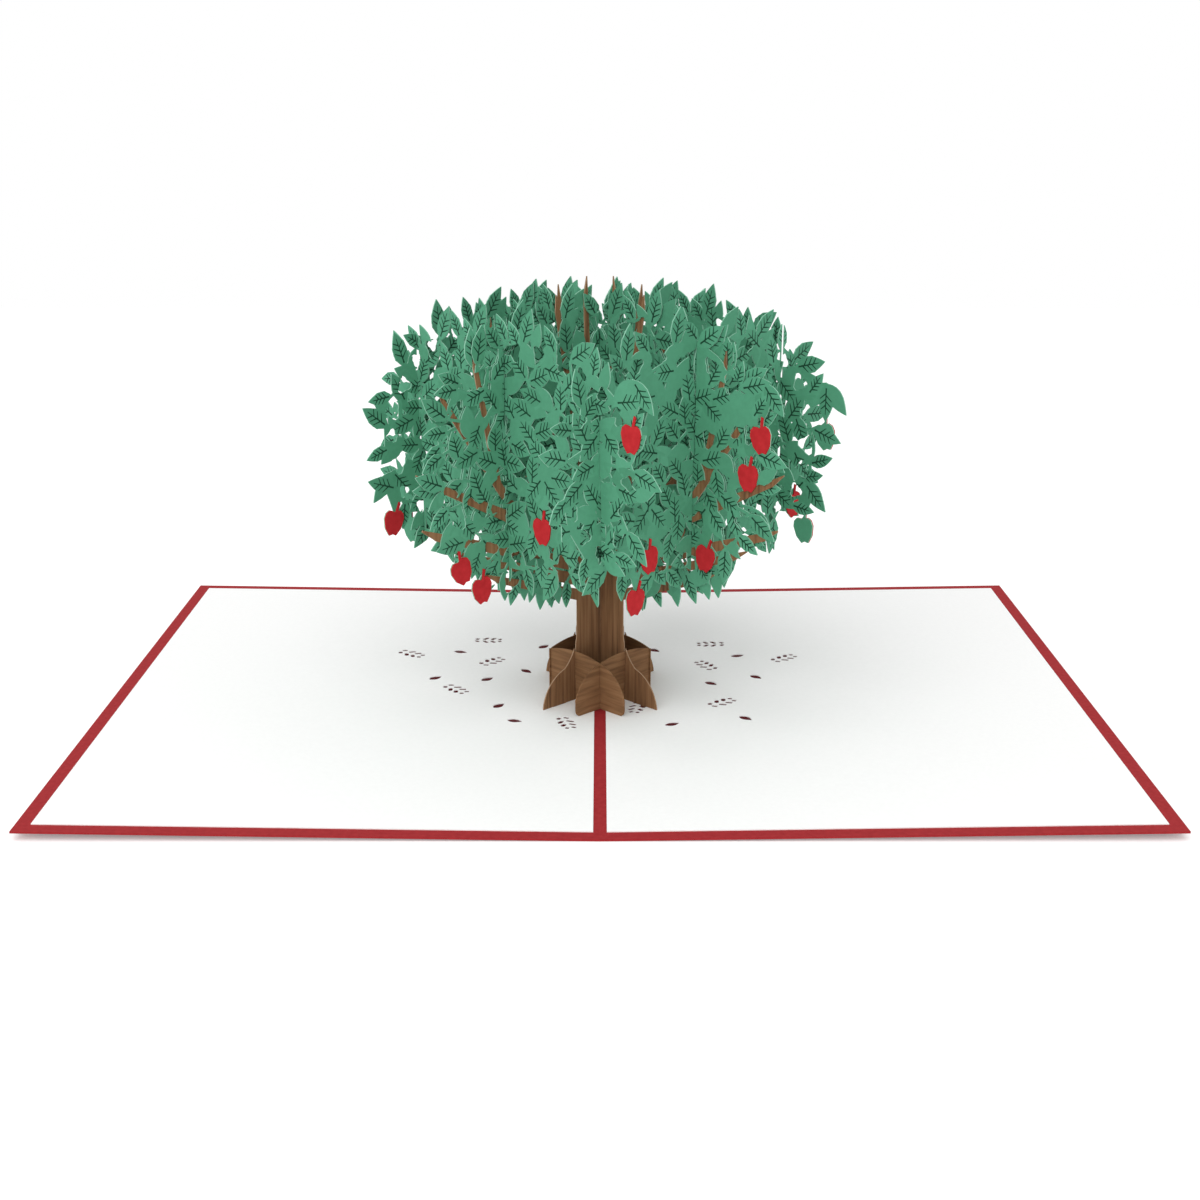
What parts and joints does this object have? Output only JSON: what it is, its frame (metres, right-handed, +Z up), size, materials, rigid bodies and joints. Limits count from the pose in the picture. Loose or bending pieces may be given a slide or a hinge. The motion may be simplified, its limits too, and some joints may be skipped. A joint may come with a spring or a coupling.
{
  "type": "pop up card",
  "caption": "Open folded greeting card with a tree of slotted paper sheets that stands up from its white inside panels, for opening and display.",
  "frame": {"origin": "underside of the fold at the middle of the spine, on the surface the card rests on", "axes": "+Z up along the trunk, +Y along the spine to the back of the open card, +X to the right half"},
  "size_m": [0.254, 0.178, 0.1095],
  "materials": {
    "red_card": "matte coloured card",
    "white_paper": "matte paper",
    "brown_paper": "matte printed bark",
    "green_paper": "matte printed leaves",
    "apple_paper": "matte paper"
  },
  "bodies": {
    "root": {"apple_01": "apple_paper", "apple_02": "apple_paper", "apple_03": "apple_paper", "apple_04": "apple_paper", "apple_05": "apple_paper", "apple_06": "apple_paper", "apple_07": "apple_paper", "apple_08": "apple_paper", "apple_09": "apple_paper", "apple_10": "apple_paper", "apple_11": "apple_paper", "apple_12": "apple_paper", "apple_13": "apple_paper", "apple_14": "apple_paper", "apple_15": "apple_paper", "apple_16": "apple_paper", "apple_17": "apple_paper", "apple_18": "apple_paper", "apple_19": "apple_paper", "apple_20": "apple_paper", "apple_21": "apple_paper", "apple_22": "apple_paper", "leaf_layer_a_far": "green_paper", "leaf_layer_a_near": "green_paper", "leaf_layer_b_far": "green_paper", "leaf_layer_b_near": "green_paper", "leaf_sheet_back_left": "green_paper", "leaf_sheet_back_right": "green_paper", "leaf_sheet_front_left": "green_paper", "leaf_sheet_front_right": "green_paper", "left_inner_panel": "white_paper", "outer_card": "red_card", "right_inner_panel": "white_paper", "root_sheet_back_left": "brown_paper", "root_sheet_back_right": "brown_paper", "root_sheet_front_left": "brown_paper", "root_sheet_front_right": "brown_paper", "trunk_sheet_a": "brown_paper", "trunk_sheet_b": "brown_paper"}
  },
  "joints": []
}
